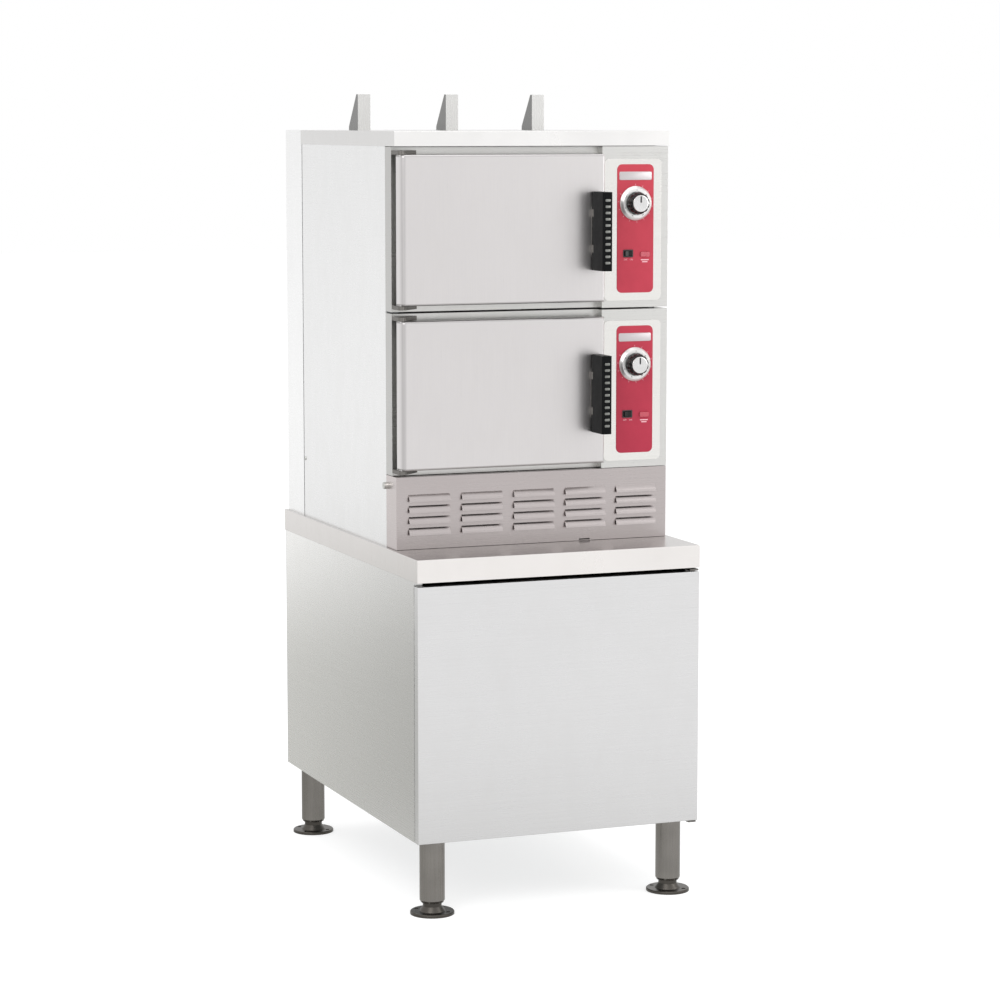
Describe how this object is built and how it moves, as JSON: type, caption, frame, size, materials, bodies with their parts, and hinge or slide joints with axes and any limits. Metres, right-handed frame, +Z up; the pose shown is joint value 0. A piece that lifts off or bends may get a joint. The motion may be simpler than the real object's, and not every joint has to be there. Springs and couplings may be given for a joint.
{
  "type": "convection steamer",
  "caption": "Two-compartment gas convection steamer on a boiler cabinet base, with hinged doors, latch handles, timer knobs and adjustable flanged feet.",
  "frame": {"origin": "on the floor, under the middle of the whole object's box", "axes": "+X to the right of a person facing the doors, +Y to the back, +Z up"},
  "size_m": [0.61, 0.894, 1.634],
  "materials": {
    "stainless": "brushed stainless steel",
    "polished_cap": "bright stainless steel",
    "leg_tube": "satin stainless tube",
    "cast_foot": "machined foot",
    "boiler_steel": "heat-proof grey paint",
    "black_iron": "black pipe",
    "valve_alloy": "die cast",
    "brass": "plain brass",
    "copper_line": "copper and brass fittings",
    "galvanized": "galvanised sheet",
    "handle_black": "black moulded grip",
    "knob": "bright skirt and cap with a black body",
    "rocker_black": "black rocker",
    "overlay_red": "red printed overlay",
    "lamp_red": "red lens",
    "switchgear": "black switch bodies with steel shafts",
    "gasket": "grey silicone",
    "lever_red": "red dipped lever",
    "magnet": "white catch",
    "dark_steel": "dark hinge steel"
  },
  "bodies": {
    "root": {"cabinet_base": "galvanized", "cabinet_left_panel": "stainless", "cabinet_right_panel": "stainless", "cabinet_back_panel": "galvanized", "cabinet_top": "polished_cap", "cabinet_door_pivots": "dark_steel", "cabinet_door_catch": "magnet", "leg_front_left": "leg_tube", "leg_front_right": "leg_tube", "leg_rear_left": "leg_tube", "leg_rear_right": "leg_tube", "boiler": "boiler_steel", "burners": "black_iron", "gas_piping": "black_iron", "gas_valve": "valve_alloy", "drain_line": "copper_line", "water_fill_line": "brass", "level_probe": "brass", "steam_line": "copper_line", "flue_duct": "galvanized", "steamer_chassis": "galvanized", "steamer_left_panel": "stainless", "steamer_right_panel": "stainless", "top_cap": "polished_cap", "rear_housing": "stainless", "lower_front_frame": "stainless", "upper_front_frame": "stainless", "louvre_panel": "stainless", "lower_chamber": "stainless", "upper_chamber": "stainless", "pan_racks": "stainless", "control_panels": "stainless", "control_overlays": "overlay_red", "control_switchgear": "switchgear", "indicator_lamps": "lamp_red", "top_brackets": "leg_tube", "panel_screws": "cast_foot", "door_hinges": "dark_steel", "door_strikers": "leg_tube"},
    "cabinet_door_body": {"cabinet_door": "stainless"},
    "gas_knob_body": {"gas_valve_knob": "handle_black"},
    "blowdown_lever_body": {"blowdown_lever": "lever_red"},
    "foot_front_left_body": {"foot_front_left": "cast_foot"},
    "foot_front_right_body": {"foot_front_right": "cast_foot"},
    "foot_rear_left_body": {"foot_rear_left": "cast_foot"},
    "foot_rear_right_body": {"foot_rear_right": "cast_foot"},
    "lower_door_body": {"lower_door_shell": "stainless", "lower_door_liner": "stainless", "lower_door_gasket": "gasket", "lower_handle_mount": "dark_steel"},
    "lower_handle_body": {"lower_door_handle": "handle_black"},
    "lower_knob_body": {"lower_timer_knob": "knob"},
    "lower_rocker_body": {"lower_rocker": "rocker_black"},
    "upper_door_body": {"upper_door_shell": "stainless", "upper_door_liner": "stainless", "upper_door_gasket": "gasket", "upper_handle_mount": "dark_steel"},
    "upper_handle_body": {"upper_door_handle": "handle_black"},
    "upper_knob_body": {"upper_timer_knob": "knob"},
    "upper_rocker_body": {"upper_rocker": "rocker_black"}
  },
  "joints": [
    {"name": "cabinet_door_hinge", "type": "hinge", "parent": "root", "child": "cabinet_door_body", "pos_m": [0.295, -0.437, 0.152], "axis": [0, 0, 1], "range_deg": [0, 100]},
    {"name": "gas_valve_turn", "type": "hinge", "parent": "root", "child": "gas_knob_body", "pos_m": [-0.25, -0.28, 0.253], "axis": [0, 0, 1], "range_deg": [0, 90]},
    {"name": "blowdown_valve_turn", "type": "hinge", "parent": "root", "child": "blowdown_lever_body", "pos_m": [0.215, -0.072, 0.262], "axis": [0, 0, 1], "range_deg": [0, 90]},
    {"name": "foot_front_left_adjust", "type": "slide", "parent": "root", "child": "foot_front_left_body", "axis": [0, 0, -1], "range_m": [0, 0.038]},
    {"name": "foot_front_right_adjust", "type": "slide", "parent": "root", "child": "foot_front_right_body", "axis": [0, 0, -1], "range_m": [0, 0.038]},
    {"name": "foot_rear_left_adjust", "type": "slide", "parent": "root", "child": "foot_rear_left_body", "axis": [0, 0, -1], "range_m": [0, 0.038]},
    {"name": "foot_rear_right_adjust", "type": "slide", "parent": "root", "child": "foot_rear_right_body", "axis": [0, 0, -1], "range_m": [0, 0.038]},
    {"name": "lower_door_hinge", "type": "hinge", "parent": "root", "child": "lower_door_body", "pos_m": [-0.288, -0.313, 0.885], "axis": [0, 0, -1], "range_deg": [0, 150]},
    {"name": "lower_handle_pivot", "type": "hinge", "parent": "lower_door_body", "child": "lower_handle_body", "pos_m": [0.1175, -0.3325, 1.029], "axis": [0, 0, -1], "range_deg": [0, 12], "stiffness_Nm_per_rad": 4, "springref_deg": -5.73},
    {"name": "lower_timer_turn", "type": "hinge", "parent": "root", "child": "lower_knob_body", "pos_m": [0.222, -0.3028, 1.083], "axis": [0, 1, 0], "range_deg": [0, 300]},
    {"name": "lower_rocker_tilt", "type": "hinge", "parent": "root", "child": "lower_rocker_body", "pos_m": [0.206, -0.3013, 0.981], "axis": [0, 0, -1], "range_deg": [0, 14]},
    {"name": "upper_door_hinge", "type": "hinge", "parent": "root", "child": "upper_door_body", "pos_m": [-0.288, -0.313, 1.2135], "axis": [0, 0, -1], "range_deg": [0, 150]},
    {"name": "upper_handle_pivot", "type": "hinge", "parent": "upper_door_body", "child": "upper_handle_body", "pos_m": [0.1175, -0.3325, 1.3575], "axis": [0, 0, -1], "range_deg": [0, 12], "stiffness_Nm_per_rad": 4, "springref_deg": -5.73},
    {"name": "upper_timer_turn", "type": "hinge", "parent": "root", "child": "upper_knob_body", "pos_m": [0.222, -0.3028, 1.4115], "axis": [0, 1, 0], "range_deg": [0, 300]},
    {"name": "upper_rocker_tilt", "type": "hinge", "parent": "root", "child": "upper_rocker_body", "pos_m": [0.206, -0.3013, 1.3095], "axis": [0, 0, -1], "range_deg": [0, 14]}
  ]
}
